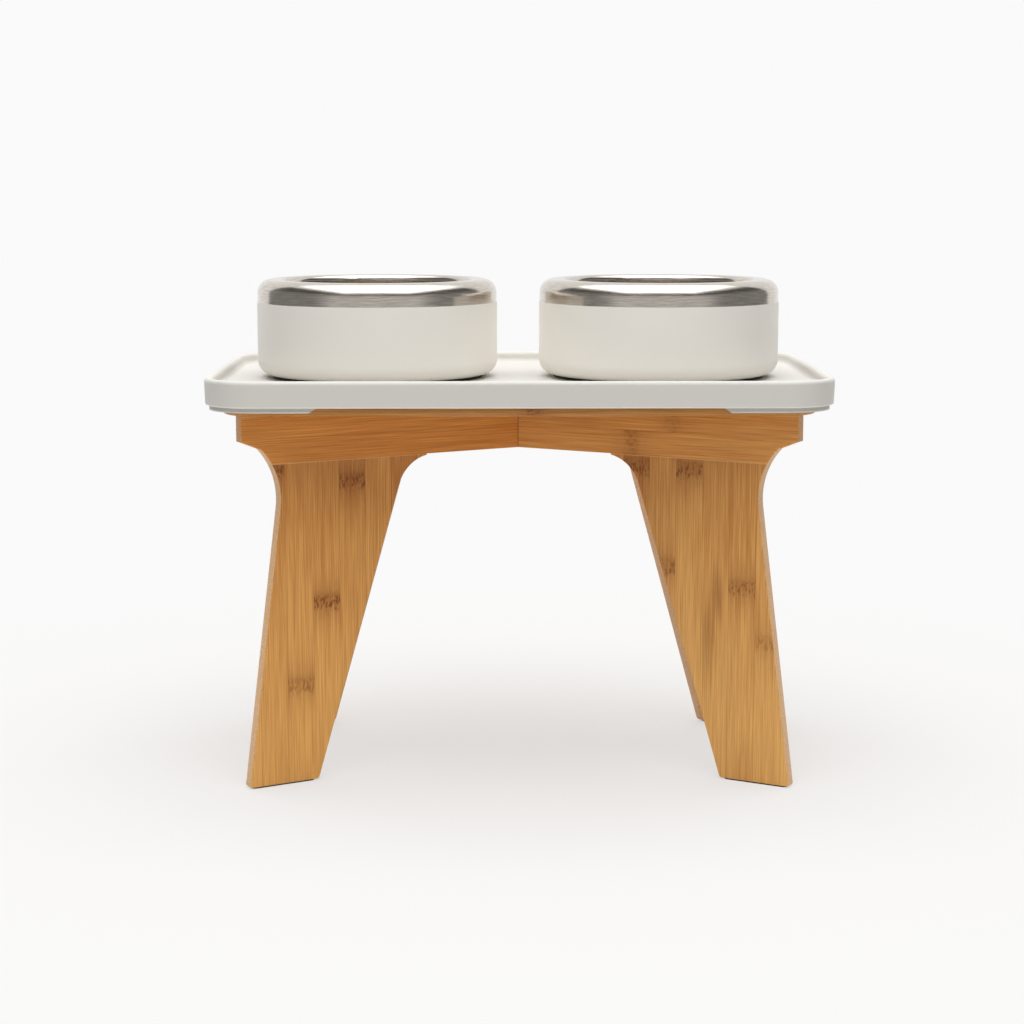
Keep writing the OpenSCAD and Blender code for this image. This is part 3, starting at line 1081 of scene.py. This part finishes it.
@dataclass
class Studio:
    """Camera, lamp, grey cards and the pale floor round the object, in metres unless a name says mm.

    Args:
        camera_mm: Place of the camera.
        pitch: How far the camera looks down.
        yaw: How far it is turned to the right.
        lens_mm: Its focal length.
        sensor_mm: Width of its sensor.
        floor_colour: Colour of the floor as sRGB hex.
        floor_r: Radius of the floor.
        fade_r: Distances between which the floor fades into the backdrop.
        shadow_share: How strongly the floor shows its shadow near the object.
        white: Brightness of the backdrop.
        card_low: Lowest corner of the cards, at the left and in front.
        card_high: Highest corner of the cards, at the right and behind.
        card_y: Places along Y between which the cards go from side to front brightness.
        card_z: Heights between which the cards go dark.
        side_low: Brightness of the side cards.
        side_high: Brightness of all cards at the top.
        front: Brightness of the front card.
        lamp_place: Place of the softbox, which faces straight down.
        lamp_size: Its width and depth.
        lamp_watts: Its power.
    """

    camera_mm: tuple[float, float, float] = (-21.5, -1663.5, 436.6)
    pitch: float = 0.14978
    yaw: float = 0.01018
    lens_mm: float = 77.44
    sensor_mm: float = 36.0
    floor_colour: str = "#E3E2E0"
    floor_r: float = 0.95
    fade_r: tuple[float, float] = (0.3, 0.85)
    shadow_share: float = 0.45
    white: float = 0.955
    card_low: tuple[float, float, float] = (-1.66, -2.31, -1.2)
    card_high: tuple[float, float, float] = (1.66, 0.95, 1.99)
    card_y: tuple[float, float] = (-0.7, -2.2)
    card_z: tuple[float, float] = (0.75, 1.3)
    side_low: float = 0.26
    side_high: float = 0.09
    front: float = 0.62
    lamp_place: tuple[float, float, float] = (0.0, -0.5, 2.0)
    lamp_size: tuple[float, float] = (2.6, 2.8)
    lamp_watts: float = 38.5

    @property
    def backdrop(self) -> Colour:
        """Colour of the backdrop."""
        return (self.white, self.white, self.white, 1.0)

    def build(self) -> None:
        """Sets up the whole studio."""
        scene = bpy.context.scene
        scene.view_settings.view_transform = "Standard"
        self.camera(scene)
        self.world(scene)
        self.cards()
        self.floor()
        self.softbox(scene)

    def camera(self, scene: bpy.types.Scene) -> None:
        """Places the camera at the photograph's viewing angle.

        Args:
            scene: Scene that gets the camera.
        """
        data = bpy.data.cameras.new("camera")
        data.lens = self.lens_mm
        data.sensor_width = self.sensor_mm
        data.clip_start = 0.05
        eye = bpy.data.objects.new("camera", data)
        eye.location = Vector(self.camera_mm) * MM
        eye.rotation_euler = (math.pi / 2 - self.pitch, 0, -self.yaw)
        scene.collection.objects.link(eye)
        scene.camera = eye

    def world(self, scene: bpy.types.Scene) -> None:
        """Hangs a plain pale backdrop all round.

        Args:
            scene: Scene that gets the world.
        """
        scene.world = bpy.data.worlds.new("studio")
        scene.world.use_nodes = True
        tree = scene.world.node_tree
        tree.nodes.clear()
        plain = add(tree, "Background", named={"Color": self.backdrop, "Strength": 1.0})
        add(tree, "OutputWorld", named={"Surface": plain})

    def cards(self) -> None:
        """Stands grey cards at both sides and in front, which give the steel its dark parts."""
        deselect()
        bpy.ops.mesh.primitive_cube_add(size=1)
        cards = bpy.context.object
        cards.name = cards.data.name = "studio_cards"
        for vertex in cards.data.vertices:
            corners = zip(self.card_low, self.card_high, vertex.co)
            vertex.co = [high if c > 0 else low for low, high, c in corners]
        bpy.ops.object.mode_set(mode="EDIT")
        bpy.ops.mesh.select_mode(type="FACE")
        bpy.ops.mesh.select_all(action="DESELECT")
        bpy.ops.object.mode_set(mode="OBJECT")
        for polygon in cards.data.polygons:
            polygon.select = abs(polygon.normal.z) > 0.5 or polygon.normal.y > 0.5
        bpy.ops.object.mode_set(mode="EDIT")
        bpy.ops.mesh.delete(type="FACE")
        deselect()
        cards.data.materials.append(self.card_glow())
        cards.visible_camera = False

    def card_glow(self) -> bpy.types.Material:
        """Builds the cards' even glow, brightest in front and dark at the top.

        Returns:
            The finished material.
        """
        material, tree = new_material("studio_card")
        place = add(tree, "TexCoord").outputs["Object"]
        _, y, z = add(tree, "SeparateXYZ", place).outputs
        near = add(tree, "MapRange", y, *self.card_y, self.side_low, self.front,
                   interpolation_type="SMOOTHSTEP")
        high = add(tree, "MapRange", z, *self.card_z, interpolation_type="SMOOTHSTEP")
        level = add(tree, "Mix", high, near, self.side_high)
        glow = add(tree, "Emission", linear("#FFFFFF"), level)
        add(tree, "OutputMaterial", glow)
        return material

    def floor(self) -> None:
        """Lays the round floor under the object."""
        deselect()
        bpy.ops.mesh.primitive_circle_add(vertices=64, radius=self.floor_r, fill_type="NGON")
        floor = bpy.context.object
        floor.name = floor.data.name = "studio_floor"
        floor.data.materials.append(self.floor_paper())

    def floor_paper(self) -> bpy.types.Material:
        """Builds the floor's pale paper, which fades into the backdrop and is clear from below.

        Returns:
            The finished material.
        """
        material, tree = new_material("studio_paper")
        paper = add(tree, "BsdfDiffuse", linear(self.floor_colour))
        plain = add(tree, "Emission", self.backdrop, 1.0)
        place = add(tree, "TexCoord").outputs["Object"]
        distance = add(tree, "VectorMath", place, operation="LENGTH")
        fade = add(tree, "MapRange", distance, *self.fade_r, 1 - self.shadow_share, 1.0,
                   interpolation_type="SMOOTHSTEP")
        rays = add(tree, "LightPath").outputs
        seen = add(tree, "Math", rays["Is Camera Ray"], rays["Is Glossy Ray"], operation="MAXIMUM")
        seen = add(tree, "Math", seen, rays["Is Transmission Ray"], operation="MAXIMUM")
        share = add(tree, "Math", fade, seen, operation="MULTIPLY")
        above = add(tree, "MixShader", share, paper, plain)
        below = add(tree, "NewGeometry").outputs["Backfacing"]
        clear = add(tree, "BsdfTransparent")
        add(tree, "OutputMaterial", add(tree, "MixShader", below, above, clear))
        return material

    def softbox(self, scene: bpy.types.Scene) -> None:
        """Hangs one large soft lamp over the object.

        Args:
            scene: Scene that gets the lamp.
        """
        data = bpy.data.lights.new("softbox", "AREA")
        data.shape = "RECTANGLE"
        data.size, data.size_y = self.lamp_size
        data.energy = self.lamp_watts
        lamp = bpy.data.objects.new("softbox", data)
        lamp.location = self.lamp_place
        scene.collection.objects.link(lamp)


def panels() -> Iterable[CrossedPanel]:
    """Gives the two crossed panels, with the knots and streaks that show on their faces, and a patch of
    painted shade at the top of the front left leg.

    Returns:
        The panels.
    """
    rail_end_x, rail_end_y = 199.2, 113.2
    angle = math.atan2(rail_end_y, rail_end_x)
    front_left = (Knot(-203.6, 233.0), Knot(-142.8, 221.0), Knot(-163.3, 133.5), Knot(-185.0, 74.0, 0.7))
    front_right = (Knot(102.8, 229.0), Knot(145.6, 229.0), Knot(186.3, 145.0, 0.8), Knot(128.8, 156.0, 0.8),
                   Knot(206.5, 106.0, 0.6))
    back_right = (Knot(150.0, 180.0), Knot(190.0, 60.0, 0.7))
    back_left = (Knot(-150.0, 170.0), Knot(-200.0, 90.0, 0.7))
    # Painted shade: darkens the top of the front left leg, which lies in the tray's shade
    painted_shade_top = Stain(-175.0, 230.0, 60.0, 42.0, 0.16)
    streaks = (Stain(168.5, 138.0, 4.0, 22.0, 0.6), Stain(162.0, 106.0, 5.5, 28.0, 0.5))
    yield CrossedPanel("over_rail", angle, ("leg_back_right", "leg_front_left"), notch_up=False,
                       rail_tones=("#F2A850", "#B2611C"), leg_tones=("#F4BA68", "#AE6120"),
                       rail_knots=(Knot(245.0, 120.0), Knot(262.0, 40.0, 0.6)),
                       leg_knots=(back_right, front_left), leg_stains_and_shade=((), (painted_shade_top,)),
                       leg_offset=4.4, seed=3.0)
    yield CrossedPanel("under_rail", -angle, ("leg_front_right", "leg_back_left"), notch_up=True,
                       rail_tones=("#F8BA66", "#BA6D28"), leg_tones=("#F4BD6E", "#B06826"),
                       rail_knots=(Knot(245.0, 98.6, 0.6), Knot(262.0, 132.4, 0.4)),
                       leg_knots=(front_right, back_left), leg_stains_and_shade=(streaks, ()),
                       leg_offset=14.5, seed=11.0)


def main() -> None:
    """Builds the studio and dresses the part."""
    logging.basicConfig(level=logging.INFO, format="%(name)s: %(message)s")
    Studio().build()
    edge, end = CUT_EDGE.material(), END_GRAIN.material()
    for panel in panels():
        panel.build(edge, end)
    assign("top_board", BOARD_WOOD_WITH_SHADE.material())
    assign("tray", TRAY_PLASTIC.material())
    coat, rubber = BOWL_COAT.material(), RUBBER.material()
    for side in Side:
        Bowl(side).build(coat, rubber)
    for foot in ("front_left", "front_right", "back_left", "back_right"):
        assign("foot_pad_" + foot, rubber)
    assign("leg_dowels", DOWEL_WOOD.material())
    assign("board_screws", SCREW_STEEL.material())


if __name__ == "__main__":
    main()
